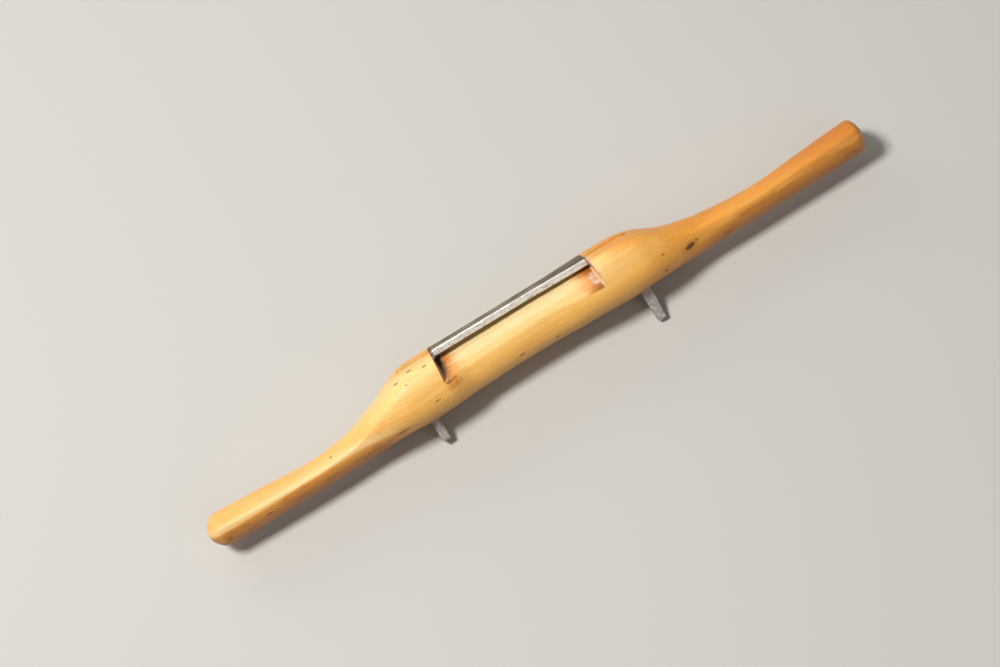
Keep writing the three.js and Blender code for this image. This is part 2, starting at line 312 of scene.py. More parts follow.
def combine(piece, others, operation):
    """Joins or cuts the piece with the others, which are used up."""
    for other in others:
        face_outwards(other)
        modifier = piece.modifiers.new("combine", "BOOLEAN")
        modifier.operation = operation
        modifier.solver = "EXACT"
        modifier.object = other
    graph = bpy.context.evaluated_depsgraph_get()
    mesh = bpy.data.meshes.new_from_object(piece.evaluated_get(graph), depsgraph=graph)
    piece.modifiers.clear()
    piece.data = mesh
    for other in others:
        bpy.data.objects.remove(other)


def shade(piece, angle):
    """Smooth shading that breaks where faces meet at more than angle degrees."""
    mesh = piece.data
    mesh.shade_smooth()
    mesh.set_sharp_from_angle(angle=math.radians(angle))


def resample(path, count):
    """count points at equal steps along a path of 2-D points, both ends included."""
    step = np.hypot(*np.diff(path, axis=0).T)
    length = np.concatenate([[0], np.cumsum(step)])
    at = np.linspace(0, length[-1], count)
    return np.stack([np.interp(at, length, path[:, k]) for k in range(2)], -1)


# ---- stock ----


def section(x):
    """The stock's section at x as (y, z) points, by angle from the back over the front."""
    body = float(body_share(x))
    throat = float(throat_share(x))
    sole = float(SOLE_LINE(x))
    top = float(TOP_LINE(x))
    middle = (sole + top) / 2
    ridge = middle - (RIDGE_DROP_LEFT if x < 0 else RIDGE_DROP_RIGHT)
    front = mix(-HANDLE_HALF_WIDTH, FRONT, body)
    back = mix(HANDLE_HALF_WIDTH, mix(BACK_AT_WALLS, BACK_AT_MIDDLE, throat), body)
    crest = mix(0, BODY_CREST, body)
    square = {k: mix(HANDLE_SQUARENESS[k], BODY_SQUARENESS[k], body) for k in BODY_SQUARENESS}
    square["sole_front"] = mix(
        HANDLE_SQUARENESS["sole_front"],
        mix(BODY_SQUARENESS["sole_front"], MIDDLE_SOLE_FRONT, throat),
        body,
    )
    angle = np.linspace(0, -2 * math.pi, SECTION_SAMPLES + 1)
    c, r = np.cos(angle), np.sin(angle)
    at_back, at_top = c >= 0, r >= 0
    at_sole_side = np.where(at_back, square["sole_back"], square["sole_front"])
    at_top_side = np.where(at_back, square["top_back"], TOP_FRONT_SQUARENESS)
    power = 2 / np.where(at_top, at_top_side, at_sole_side)
    centre_y = np.where(at_top, crest, 0)
    back_height = mix(ridge, BODY_BACK_HEIGHT, body)
    centre_z = np.where(at_back, back_height, mix(middle, BODY_FRONT_HEIGHT, body))
    reach_y = np.where(at_back, back - centre_y, centre_y - front)
    reach_z = np.where(at_top, top - centre_z, centre_z - sole)
    y = centre_y + np.sign(c) * reach_y * np.abs(c) ** power
    z = centre_z + np.sign(r) * reach_z * np.abs(r) ** power
    # Nothing lies below z = 0. The lips of the iron's seats stay flat.
    softness = SOLE_SOFTNESS * fade(y, IRON_BACK + 0.5, IRON_BACK + 4)
    return np.stack([y, (z + np.hypot(z, softness)) / 2], -1)


def ramp_height(y):
    return (y - RAMP_FOOT) * RAMP_SLOPE


def throat_edges(x):
    """Where the ramp's plane meets the back, and where the mouth is, as indices of a section."""
    points = section(x)[:-1]
    quarter = len(points) // 4
    near_back = np.arange(-quarter + 1, quarter)
    below_ramp = points[near_back, 1] < ramp_height(points[near_back, 0])
    under = points[quarter : 2 * quarter, 0]
    return near_back[np.argmax(below_ramp)], quarter + int(np.argmax(under < MOUTH))


def split_section(x):
    """The section as two paths: down the back to the mouth, and on round the front.

    It is split at the arris, which runs out into the ridge of each handle, and at the mouth,
    which runs out a third of the way round each handle.
    """
    points = section(x)[:-1]
    arris, mouth = throat_edges(min(max(x, WALL_LEFT), WALL_RIGHT))
    body = float(body_share(x))
    arris = int(round(arris * body))
    mouth = int(round(mix(len(points) / 3, mouth, body))) - arris
    ring = np.roll(points, -arris, axis=0)
    ring = np.concatenate([ring, ring[:1]])
    return resample(ring[: mouth + 1], CUT_POINTS), resample(ring[mouth:], SKIN_POINTS)


def lift_share(x):
    """How much of the blade's lift is reached at x."""
    return sum(share * fade(x, start, end) for share, start, end in LIFT_STEPS)


def ramp_path(x, arris, mouth):
    """From the arris down the ramp, then down the throat's curve to the mouth."""
    room = float(lift_share(x))
    start_y = RAMP_START + RAMP_START_SHIFT * room
    start = np.array([start_y, ramp_height(start_y)])
    f = np.linspace(0, 1, 24)[:, None]
    bend = np.array([MOUTH, THROAT_RISE + BLADE_LIFT * room])
    curve = (1 - f) ** 2 * start + 2 * f * (1 - f) * bend + f**2 * mouth
    return resample(np.concatenate([[arris], curve]), CUT_POINTS)


def lean(x, z):
    """How far the leaning walls shift a point along the stock."""
    near_left = 1 - fade(np.abs(x - WALL_LEFT), 0, LEAN_REACH)
    near_right = 1 - fade(np.abs(x - WALL_RIGHT), 0, LEAN_REACH)
    return WALL_LEAN * z * (near_right - near_left)


def ring_at(x, cut, rest, cut_x=None, rest_x=None):
    """One ring of 3-D points from its two paths, each with its own x if given."""
    path = np.concatenate([cut, rest[1:-1]])
    along = np.full(len(path), float(x))
    if cut_x is not None:
        along[1 : len(cut) - 1] = cut_x
    if rest_x is not None:
        along[len(cut) - 1 :] = rest_x
        along[0] = rest_x
    return np.stack([along + lean(along, path[:, 1]), path[:, 0], path[:, 1]], -1)


def wall_rings(wall, side):
    """Rings that close the full section at a wall and leave the ramp, in order of leaving.

    side is 1 where the wood lies on the left of the wall, and -1 where it lies on the right.
    """
    cut, rest = split_section(wall)
    ramp = ramp_path(wall, cut[0], cut[-1])
    away = ramp - cut
    distance = np.hypot(*away.T)
    direction = away / np.maximum(distance, 1e-6)[:, None]
    rings = []
    edge_turns = [0, 22, 45, 68, 90]
    face_shares = [0.15, 0.35, 0.6, 0.85, 1.0]
    total = len(edge_turns) + len(face_shares)

    def add_ring(path, x):
        rest_x = wall - side * WALL_RING_STEP * (total - len(rings))
        rings.append(ring_at(x, path, rest, x, rest_x))

    for turn in edge_turns:
        a = math.radians(turn)
        inset = np.minimum(WALL_EDGE * (1 - math.cos(a)), 0.4 * distance)
        edge = cut + direction * inset[:, None]
        add_ring(edge, wall - side * WALL_EDGE * (1 - math.sin(a)))
    for share in face_shares:
        add_ring(mix(edge, ramp, share), wall)
    return rings


def soften_arris(rings, strength):
    """Rounds the arris, the first point of each ring, by averaging neighbours there."""
    count = rings.shape[1]
    reach = 5
    spread = 2.2
    passes = 6
    offsets = np.arange(-reach, reach + 1)
    weight = np.exp(-((offsets / spread) ** 2)) * 0.5
    for _ in range(passes):
        before = rings[:, (offsets - 1) % count, 1:]
        here = rings[:, offsets % count, 1:]
        after = rings[:, (offsets + 1) % count, 1:]
        pull = (before + after) / 2 - here
        rings[:, offsets % count, 1:] += pull * weight[None, :, None] * strength[:, None, None]
    return rings


def throat_rings(stations):
    """Rings whose cut side follows the ramp, between the throat's walls."""
    rings = []
    for x in stations:
        cut, rest = split_section(x)
        rings.append(ring_at(x, ramp_path(x, cut[0], cut[-1]), rest))
    from_wall = np.minimum(stations - WALL_LEFT, WALL_RIGHT - stations)
    worn = mix(ARRIS_WEAR_LEFT, ARRIS_WEAR_RIGHT, fade(stations, -12, 6))
    return soften_arris(np.array(rings), fade(from_wall, 0.3, 5) * worn)


def full_rings(stations):
    return [ring_at(x, *split_section(x)) for x in stations]


def dome_rings(base, end, squareness):
    """Rings from the full section at base towards the end of a handle."""
    ring = ring_at(base, *split_section(base))
    centre = np.array([0, 0, float(SOLE_LINE(base) + TOP_LINE(base)) / 2])
    rings = []
    for a in np.linspace(0, math.pi / 2, 17)[1:-1]:
        scale = math.cos(a) ** (2 / squareness)
        moved = centre + (ring - centre) * scale
        moved[:, 0] = base + (end - base) * math.sin(a) ** (2 / squareness)
        rings.append(moved)
    return rings


def hand_work(rings):
    """Slight unevenness of hand shaping: three long shallow waves that only take wood away."""
    wave_size = 0.035
    x, y, z = np.moveaxis(rings, -1, 0)
    wave = (
        np.sin(x / 5.1 + z / 4.3)
        + np.sin(x / 8.7 - y / 5.9 + 1.3)
        + np.sin(y / 2.9 + z / 3.7 + x / 13.0 + 0.6)
    )
    centre = rings.mean(axis=1, keepdims=True)
    outward = rings - centre
    outward[..., 0] = 0
    length = np.maximum(np.linalg.norm(outward, axis=-1, keepdims=True), 1e-6)
    depth = wave_size * (wave[..., None] - 3)
    off_sole = fade(z, 0.0, 0.8)[..., None]
    return rings + outward / length * depth * off_sole


def tang_at(tang, z, margin=0.0):
    """Width, front and back of a tang at height z, widened all round by margin."""
    f = (z - TANG_ROOT) / (tang["height"] - TANG_ROOT)
    width = mix(tang["root_width"], tang["tip_width"], f) + 2 * margin
    depth = mix(tang["root_depth"], TANG_TIP_DEPTH, f)
    return width, IRON_BACK - depth - margin, IRON_BACK + margin


def box_ring(x_low, x_high, y_low, y_high, z):
    corners = [(x_low, y_low), (x_high, y_low), (x_high, y_high), (x_low, y_high)]
    return [(x, y, z) for x, y in corners]


def plain_block(name, low_ring, high_ring):
    rings = np.array([low_ring, high_ring], float)
    return skin(name, rings, [rings[0].mean(0), rings[1].mean(0)])


def seat_cutter(x_low, x_high):
    """The recess in the sole for one of the iron's ends, deep enough for it to sink."""
    sides = (x_low, x_high, PAD_FRONT - SEAT_GAP, IRON_BACK + SEAT_GAP)
    below_sole = -5
    top = TANG_ROOT + SINK_TRAVEL + SEAT_GAP
    return plain_block("seat_cutter", box_ring(*sides, below_sole), box_ring(*sides, top))


def hole_cutter(tang):
    rings = []
    for z in (TANG_ROOT, tang["height"]):
        width, front, back = tang_at(tang, z, HOLE_GAP)
        half = width / 2
        rings.append(box_ring(tang["x"] - half, tang["x"] + half, front, back, z))
    return plain_block("hole_cutter", *rings)


def make_stock():
    left = LEFT_END + LEFT_DOME["depth"]
    right = RIGHT_END - RIGHT_DOME["depth"]

    def stations(start, end):
        return np.linspace(start, end, max(3, int(round((end - start) / STATION_STEP))))

    near = 2 * WALL_EDGE
    rings = dome_rings(left, LEFT_END, LEFT_DOME["squareness"])[::-1]
    rings += full_rings(stations(left, WALL_LEFT - near))
    rings += wall_rings(WALL_LEFT, 1)
    rings += list(throat_rings(stations(WALL_LEFT + 0.1, WALL_RIGHT - 0.1)))
    rings += wall_rings(WALL_RIGHT, -1)[::-1]
    rings += full_rings(stations(WALL_RIGHT + near, right))
    rings += dome_rings(right, RIGHT_END, RIGHT_DOME["squareness"])
    rings = hand_work(np.array(rings))
    tips = []
    for x, ring in ((LEFT_END, rings[0]), (RIGHT_END, rings[-1])):
        tips.append((x, *ring.mean(0)[1:]))
    stock = skin("wooden_stock", rings, tips)
    face_outwards(stock)
    cutters = [
        seat_cutter(PAD_LEFT_END - SEAT_GAP, BLADE_LEFT),
        seat_cutter(BLADE_RIGHT, PAD_RIGHT_END + SEAT_GAP),
    ]
    combine(stock, cutters + [hole_cutter(tang) for tang in TANGS], "DIFFERENCE")
    shade(stock, angle=38)
    return stock


# ---- iron ----


def blade_ring(x, front, bevel, edge_height):
    """The iron's section at x: its sole face, back edge, upper face, bevel and front edge.

    The back edge is crowned, as filing leaves it.
    """
    corners = [
        (front, 0.0),
        (IRON_BACK, 0.0),
        (IRON_BACK, IRON_THICKNESS),
        (bevel, IRON_THICKNESS),
        (front, edge_height),
    ]
    counts = [26, 16, 14, 16, 4]
    path = []
    for k, count in enumerate(counts):
        a, b = np.array(corners[k]), np.array(corners[(k + 1) % 5])
        path.append(a + (b - a) * np.linspace(0, 1, count, endpoint=False)[:, None])
    up_back_edge = np.linspace(-1, 1, counts[1], endpoint=False)
    path[1][:, 0] -= BACK_EDGE_CROWN * np.abs(up_back_edge) ** 2.5
    path = np.concatenate(path)
    worn = [counts[0], counts[0] + counts[1], sum(counts[:3])]
    for _ in range(3):
        for corner in worn:
            near = np.arange(corner - 2, corner + 3)
            path[near] = (path[near - 1] + 2 * path[near] + path[near + 1]) / 4
    return np.stack([np.full(len(path), float(x)), path[:, 0], path[:, 1]], -1)


def lift(x, y):
    """How much deeper the forged blade lies than a flat one: its right end is twisted."""
    from_edge = np.clip((y - CUTTING_EDGE) / (IRON_BACK - CUTTING_EDGE), 0, 1)
    twist = mix(EDGE_LIFT_SHARE, 1.0, from_edge)
    return BLADE_LIFT * twist * lift_share(x) - BLADE_PROUD


def forge_marks(x, y, z):
    """Small unevenness of the forged iron, in mm."""
    return FORGE_DEPTH * (
        np.sin(x / 1.9 + y / 1.1)
        + np.sin(x / 3.7 - z / 0.9 + 0.8)
        + 0.6 * np.sin(x / 0.83 + y / 2.1 + z + 2.0)
    )


def make_blade():
    """The blade and the pads at its two ends, in one skin."""
    pad_chamfer = 0.3
    step = 0.05  # length over which the narrow pad widens to the blade
    pad = (PAD_FRONT, PAD_FRONT + pad_chamfer, IRON_THICKNESS - pad_chamfer)
    blade = (CUTTING_EDGE, BEVEL_START, EDGE_THICKNESS)
    parts = [
        (PAD_LEFT_END, BLADE_LEFT - step, 30, pad),
        (BLADE_LEFT, BLADE_RIGHT, 160, blade),
        (BLADE_RIGHT + step, PAD_RIGHT_END, 30, pad),
    ]
    rings = []
    for start, end, count, shape in parts:
        rings += [blade_ring(x, *shape) for x in np.linspace(start, end, count)]
    rings = np.array(rings)
    x, y, z = np.moveaxis(rings, -1, 0)
    marks = forge_marks(x, y, z)
    at_back = fade(y, IRON_BACK - 0.5, IRON_BACK)
    near_blade = fade(x, BLADE_LEFT - PAD_SLOPE, BLADE_LEFT)
    near_blade = near_blade * fade(x, BLADE_RIGHT + PAD_SLOPE, BLADE_RIGHT)
    rings[..., 1] = y + at_back * (marks - FORGE_INSET)
    rings[..., 2] = z + mix(PAD_SINK, lift(x, y), near_blade)
    tips = []
    for ring in (rings[0], rings[-1]):
        middle = ring.mean(0)
        ring[:, 1:] = middle[1:] + (ring[:, 1:] - middle[1:]) * PAD_END_TAPER
        tips.append(middle)
    return skin("forged_iron", rings, tips)


def rounded_rectangle(width, low, high, radius, per_corner=6):
    """Points round a rectangle with rounded corners, centred on 0 across its width."""
    points = []
    for turn, (sx, y) in enumerate([(1, high), (-1, high), (-1, low), (1, low)]):
        inward = -1 if y == high else 1
        centre = (sx * (width / 2 - radius), y + inward * radius)
        for k in range(per_corner):
            a = math.radians(90 * turn + 90 * k / (per_corner - 1))
            points.append((centre[0] + radius * math.cos(a), centre[1] + radius * math.sin(a)))
    return np.array(points)


def make_tang(tang):
    """A tapered tang with worn corners and a rounded tip."""
    wave_share = 0.02
    shoulder = tang["height"] - TIP_WEAR - TANG_TIP_ROUNDING
    rings = []
    for z in np.linspace(TANG_ROOT - IRON_THICKNESS / 2, shoulder, 60):
        width, front, back = tang_at(tang, z)
        path = rounded_rectangle(width, front, back, TANG_CORNER)
        rings.append([(tang["x"] + px, py, z) for px, py in path])
    for a in np.linspace(0, math.pi / 2, 7)[1:]:
        inset = TANG_TIP_ROUNDING * (1 - math.cos(a))
        z = shoulder + TANG_TIP_ROUNDING * math.sin(a)
        width, front, back = tang_at(tang, shoulder, -inset)
        path = rounded_rectangle(width, front, back, max(0.1, TANG_CORNER - inset * 0.5))
        rings.append([(tang["x"] + px, py, z) for px, py in path])
    rings = np.array(rings)
    x, y, z = np.moveaxis(rings, -1, 0)
    centre = rings.mean(1, keepdims=True)
    shrink = 1 - wave_share * np.abs(np.sin(z / 1.7 + x) + np.sin(z / 3.1 + y))
    rings[..., :2] = centre[..., :2] + (rings[..., :2] - centre[..., :2]) * shrink[..., None]
    return skin("tang", rings, [rings[0].mean(0), rings[-1].mean(0)])


def make_iron():
    iron = make_blade()
    face_outwards(iron)
    combine(iron, [make_tang(tang) for tang in TANGS], "UNION")
    shade(iron, angle=40)
    return iron


# ---------------------------------------------------------------------------
# Materials
# ---------------------------------------------------------------------------


class Signal:
    """A value inside a node material, so that shading can be written as arithmetic."""

    def __init__(self, shader, socket):
        self.shader = shader
        self.socket = socket

    def __add__(self, other):
        return self.shader.math("ADD", self, other)

    def __sub__(self, other):
        return self.shader.math("SUBTRACT", self, other)

    def __mul__(self, other):
        return self.shader.math("MULTIPLY", self, other)

    __radd__ = __add__
    __rmul__ = __mul__

    def __rsub__(self, other):
        return self.shader.math("SUBTRACT", other, self)


class Shader:
    """A Principled material, with the tool's own coordinates in mm to hang detail on."""

    def __init__(self, name):
        self.material = bpy.data.materials.new(name)
        self.material.use_nodes = True
        self.tree = self.material.node_tree
        self.surface = self.tree.nodes["Principled BSDF"]
        here = Signal(self, self.tree.nodes.new("ShaderNodeTexCoord").outputs["Object"])
        self.x, self.y, self.z = (self.along(here, axis) for axis in (ALONG, BACKWARD, UP))

    def node(self, kind, inputs, output=0, **settings):
        made = self.tree.nodes.new(kind)
        for key, value in settings.items():
            setattr(made, key, value)
        for key, value in inputs.items():
            self.plug(made.inputs[key], value)
        return Signal(self, made.outputs[output])

    def plug(self, socket, value):
        if isinstance(value, Signal):
            self.tree.links.new(value.socket, socket)
        else:
            socket.default_value = value

    def set(self, **values):
        for name, value in values.items():
            self.plug(self.surface.inputs[name.replace("_", " ")], value)

    def math(self, operation, a, b=0.0):
        return self.node("ShaderNodeMath", {0: a, 1: b}, operation=operation)

    def along(self, point, axis):
        """The point's distance from the tool's origin along one of its axes, in mm."""
        dot = self.node(
            "ShaderNodeVectorMath",
            {0: point, 1: tuple(axis / MM)},
            output="Value",
            operation="DOT_PRODUCT",
        )
        return dot - ORIGIN.dot(axis) / MM

    def step(self, value, low, high):
        """0 up to low and 1 from high, smooth between. High may be the smaller."""
        inputs = {"Value": value, "From Min": low, "From Max": high}
        return self.node("ShaderNodeMapRange", inputs, interpolation_type="SMOOTHSTEP")

    def vector(self, x, y, z):
        return self.node("ShaderNodeCombineXYZ", {0: x, 1: y, 2: z})

    def grain(self, length, width, seed=0.0, detail=2.0):
        """Noise drawn out along the tool: length and width of its patches in mm."""
        vector = self.vector(
            self.x * (1 / length) + seed, self.y * (1 / width) + seed, self.z * (1 / width)
        )
        inputs = {"Vector": vector, "Scale": 1.0, "Detail": detail, "Roughness": 0.5}
        return self.node("ShaderNodeTexNoise", inputs)

    def mix(self, a, b, factor, blend="MIX"):
        """Colour a at factor 0 and colour b at factor 1."""
        inputs = {"Factor": factor, 6: a, 7: b}
        return self.node(
            "ShaderNodeMix", inputs, output=2, data_type="RGBA", blend_type=blend
        )

    def spot(self, u, v, centre, size, wobble=0.0):
        """1 in the middle of an ellipse in (u, v), falling to 0 outside it."""
        du = (u - centre[0]) * (1 / size[0])
        dv = (v - centre[1]) * (1 / size[1])
        return self.step(du * du + dv * dv + wobble, 1.2, 0.35)

    def bump(self, height, strength, distance):
        inputs = {"Height": height, "Strength": strength, "Distance": distance}
        self.plug(self.surface.inputs["Normal"], self.node("ShaderNodeBump", inputs))


def rgb(red, green, blue):
    """A display colour, 0 to 255, as the linear colour the shader takes."""

    def linear(c):
        c /= 255
        return c / 12.92 if c <= 0.04045 else ((c + 0.055) / 1.055) ** 2.4

    return (linear(red), linear(green), linear(blue), 1.0)


# Dark marks on the side that faces up, as (x, height seen, half length, half height) in mm.
KNOT = (63.4, 16.2, 2.1, 0.95)
KNOT_TILT = 0.16  # how much higher the knot is seen at its left end, mm per mm
SPECKS = [
    (53.3, 13.7, 0.8, 0.35),
    (51.9, 19.15, 0.9, 0.35),
    (66.5, 15.4, 1.0, 0.3),
    (-48.4, 3.35, 1.3, 0.35),
    (-42.2, 1.87, 1.3, 0.35),
    (-36.9, 3.2, 1.1, 0.4),
    (-45.5, 5.6, 0.6, 0.3),
    (-80.8, 13.2, 0.7, 0.35),
    (-39.0, 15.9, 1.4, 0.25),
    (-124.9, 19.0, 0.9, 0.4),
    (-108.7, 18.8, 1.6, 0.3),
    (-5.9, 17.7, 1.4, 0.3),
    (-4.2, 4.8, 1.1, 0.3),
    (8.0, 18.9, 1.0, 0.25),
]
STREAK = (-55.0, 18.9, 3.6, 0.3)
SCORCHED_CORNER = (-31.0, 13.5, 3.4, 2.2)
SCORCHED_HEART = (-32.0, 12.4, 1.9, 0.6)
BACK_VIEW = 0.15  # the share of y in the height at which a point on the back is seen
DARK_FROM = 15.6  # height from which the handles are darkened, partly as painted shade, where they spring

# Wood colours, from fresh to worn, the colours of its stains and darker patches, and a dark brown
# for a painted shadow.
PALE = rgb(248, 226, 172)
CREAM = rgb(250, 212, 138)
HONEY = rgb(242, 182, 92)
AMBER = rgb(234, 158, 60)
DEEP_AMBER = rgb(204, 120, 34)
BROWN = rgb(146, 78, 20)
TAWNY = rgb(206, 132, 46)
KNOT_BROWN = rgb(74, 38, 20)
SCORCH = rgb(186, 104, 28)
TOAST = rgb(232, 158, 74)
CHAR = rgb(122, 66, 30)
IRON_STAIN = rgb(178, 146, 122)
RESIDUE = rgb(214, 196, 182)
# A dark brown for the painted shadow of the throat's left wall.
WALL_SHADOW_BROWN = rgb(52, 34, 24)
TOE_DARK = rgb(92, 72, 46)


class Boxwood(Shader):
    """The stock's wood. Each method lays one kind of colour over what is there already."""

    def __init__(self):
        super().__init__("boxwood")
        x, y, z = self.x, self.y, self.z
        self.seen = z + y * BACK_VIEW
        self.streaks = self.grain(26, 1.3, detail=3)
        self.fine = self.grain(9, 0.32, seed=7, detail=2)
        self.blotches = self.grain(8, 2.2, seed=17, detail=4)
        # These move the edges of colours and stains about, wobble and drag by so many mm.
        self.drift = self.grain(22, 9, seed=3, detail=2) - 0.5
        self.wobble = (self.grain(1.8, 1.5, seed=11, detail=4) - 0.5) * 4.5
        self.drag = (self.grain(5, 0.7, seed=23, detail=3) - 0.5) * 7

        self.over_ramp = z - (y - RAMP_FOOT) * RAMP_SLOPE
        self.from_left = x - WALL_LEFT
        self.from_right = WALL_RIGHT - x
        self.in_throat = self.step(self.from_left, 0.0, 0.4) * self.step(self.from_right, 0.0, 0.4)
        self.on_ramp = self.step(self.over_ramp, 1.3, 0.25) * self.in_throat
        self.on_back = self.step(y, 1.0, 3.0)

    def patina(self):
        """Cream wood, darkened by age towards its rims and its handles."""
        x, seen, drift = self.x, self.seen, self.drift
        colour = self.mix(CREAM, HONEY, self.step(seen + drift * 8, 1.0, 17.0))
        age = self.step(x, 22, 72) + 0.45 * self.step(x, -66, -110)
        age = age + 0.7 * self.step(seen + drift * 4, 4.2, -1.6) + drift * 0.5
        age = age + 0.5 * self.step(x, 26, 42) * self.step(seen + drift * 4, 10.0, 1.0)
        age = age + (self.blotches - 0.5) * 0.8
        colour = self.mix(colour, AMBER, self.step(age, 0.0, 1.1))
        return self.mix(colour, DEEP_AMBER, self.step(x + drift * 30, 80, 135) * 0.75)

    def handle_wear_and_painted_light(self, colour):
        """Darkens the handles past their ridges, partly patina and partly painted shade, and
        paints highlights on the ridges.
        """
        x, z, drift = self.x, self.z, self.drift
        handle = self.step(x, -48, -66) + self.step(x, 54, 78)
        over_ridge = z - DARK_FROM + self.step(x, -56, -74) * 1.1 + self.step(x, 58, 88) * 1.5
        # Past the ridge the handles are darker, partly patina and partly painted shade of the
        # facet turned from the light, with brown smudges.
        past_ridge_patina_and_shade = self.step(over_ridge + drift * 1.5, -0.2, 2.0) * handle
        colour = self.mix(colour, TAWNY, past_ridge_patina_and_shade * 0.8)
        smudges = self.step(self.blotches, 0.50, 0.66)
        colour = self.mix(colour, BROWN, smudges * past_ridge_patina_and_shade * 0.4)
        sole_side = self.step(over_ridge + drift * 2, -3.4, -6.8) * self.step(x, 52, 84)
        colour = self.mix(colour, DEEP_AMBER, sole_side * 0.6)
        # Painted highlight: a pale band just above each ridge, with honey patches of painted satin
        # highlight on the right handle.
        ridge = self.step(over_ridge, -3.6, -0.4) * self.step(over_ridge, 1.0, 0.0) * handle
        colour = self.mix(colour, PALE, ridge * self.step(x, 70, -40) * 0.5)
        satin_highlight = ridge * self.step(x, 60, 90) * self.step(self.blotches, 0.62, 0.42)
        colour = self.mix(colour, HONEY, satin_highlight * 0.6)
        # Darker towards the top of the whole stock: partly patina, partly painted shade where the
        # rounded top turns from the light.
        return self.mix(colour, BROWN, self.step(z + drift * 3, 16.0, 21.5) * 0.6)

    def fresh_ramp(self, colour):
        """The ramp was cut through the patina, so it is paler."""
        fading = self.step(self.seen + self.drift, 7.0, 9.4)
        colour = self.mix(colour, PALE, self.on_ramp * (0.95 - fading * 0.75))
        return self.mix(colour, CREAM, self.step(self.blotches, 0.45, 0.62) * self.on_ramp * 0.6)

    def ramp_stains(self, colour):
        """Scorched and rusty ends of the ramp, with the left wall's shadow painted on. The right
        end is clearer at its waist.
        """
        seen, ramp, wobble, drag = self.seen, self.on_ramp, self.wobble, self.drag
        from_left, from_right = self.from_left, self.from_right
        depth = seen - 3.0
        nearest = self.math("MINIMUM", from_left, from_right)
        toast = self.step(nearest + wobble * 0.5 + drag * 0.6, 9.5, 3.0)
        colour = self.mix(colour, TOAST, toast * ramp * 0.85)
        waist = self.step(self.math("ABSOLUTE", seen - 8.2), 0.8, 3.4)
        scorch = self.step(from_left + wobble * 0.6 + drag * 0.6 + depth * 0.25, 6.6, 1.8)
        scorch = scorch + self.step(
            from_right + wobble * 0.6 + drag * 0.7 - waist * 2.2, 4.4, 0.6
        )
        colour = self.mix(colour, SCORCH, scorch * ramp * 0.8)
        grey = self.step(from_left + wobble * 0.5 + depth * 0.27, 3.9, 2.6)
        colour = self.mix(colour, IRON_STAIN, grey * ramp * 0.75)
        char = self.step(from_right + wobble * 0.5 - waist * 2.4, 0.9, -0.8)
        colour = self.mix(colour, CHAR, char * ramp * 0.45)
        residue = self.spot(self.x, seen, (WALL_RIGHT - 0.9, 8.2), (2.1, 2.7), wobble * 0.35)
        residue = residue * (0.35 + self.step(wobble - drag * 0.3, 1.0, -1.0) * 0.45)
        colour = self.mix(colour, RESIDUE, residue * ramp)
        # Painted shadow: the dark wedge that the left wall casts on the ramp, widest next to the
        # blade.
        painted_wall_shadow = self.step(from_left + wobble * 0.1 + depth * 0.3, 2.9, 1.9)
        return self.mix(colour, WALL_SHADOW_BROWN, painted_wall_shadow * ramp * 0.9)

    def wall_stains(self, colour):
        """The right wall took the same stains as the ramp; the left wall, turned from the key
        light, is darkened as painted shade.
        """
        x, z = self.x, self.z
        to_right_wall = self.math("ABSOLUTE", x - z * WALL_LEAN - WALL_RIGHT)
        right_wall = self.step(to_right_wall, 0.75, 0.3) * self.step(self.over_ramp, 0.4, 0.0)
        rusty = self.step(self.wobble + self.drag * 0.5, 0.9, -0.9)
        colour = self.mix(colour, TOAST, right_wall * 0.3)
        colour = self.mix(colour, RESIDUE, right_wall * 0.45)
        colour = self.mix(colour, IRON_STAIN, right_wall * rusty * 0.45)
        # Painted shade: the left wall faces away from the key light, so it is darkened with the
        # scorch colour.
        to_left_wall = self.math("ABSOLUTE", x + z * WALL_LEAN - WALL_LEFT)
        left_wall_shade = self.step(to_left_wall, 0.5, 0.2) * self.step(self.over_ramp, 0.1, -0.3)
        return self.mix(colour, SCORCH, left_wall_shade * 0.7)

    def scorched_corner(self, colour):
        """A scorched smear past the ramp's left corner."""
        smear = self.wobble * 0.45 + self.drag * 0.12
        patchy = self.step(self.wobble + self.drag * 0.4, 2.4, -2.4)
        corner = self.spot(
            self.x, self.seen, SCORCHED_CORNER[:2], SCORCHED_CORNER[2:], smear
        )
        colour = self.mix(colour, TOAST, corner * 0.4)
        colour = self.mix(colour, SCORCH, corner * patchy * 0.7)
        heart = self.spot(self.x, self.seen, SCORCHED_HEART[:2], SCORCHED_HEART[2:], smear)
        return self.mix(colour, CHAR, heart * 0.55)

    def darker_toe(self, colour):
        """Darker on the sole in front of the mouth, most near the mouth."""
        y, z = self.y, self.z
        toe = self.step(y, MOUTH + 0.5, MOUTH - 0.1) * self.step(z, 3.0, 1.5) * self.in_throat
        near_mouth = self.step(y + self.drift * 2, MOUTH - 3.5, MOUTH - 0.5)
        return self.mix(colour, TOE_DARK, toe * (0.4 + near_mouth * 0.4))

    def grain_tone(self, colour):
        """Darker and lighter grain, strongest in blue so that dark grain is also warmer."""
        tone = (self.streaks - 0.5) * 0.34 + (self.fine - 0.5) * 0.28
        tone = tone + (self.blotches - 0.5) * 0.12
        parts = {0: 1.0 + tone * 0.7, 1: 1.0 + tone, 2: 1.0 + tone * 1.5}
        return self.mix(colour, self.node("ShaderNodeCombineColor", parts), 1.0, "MULTIPLY")

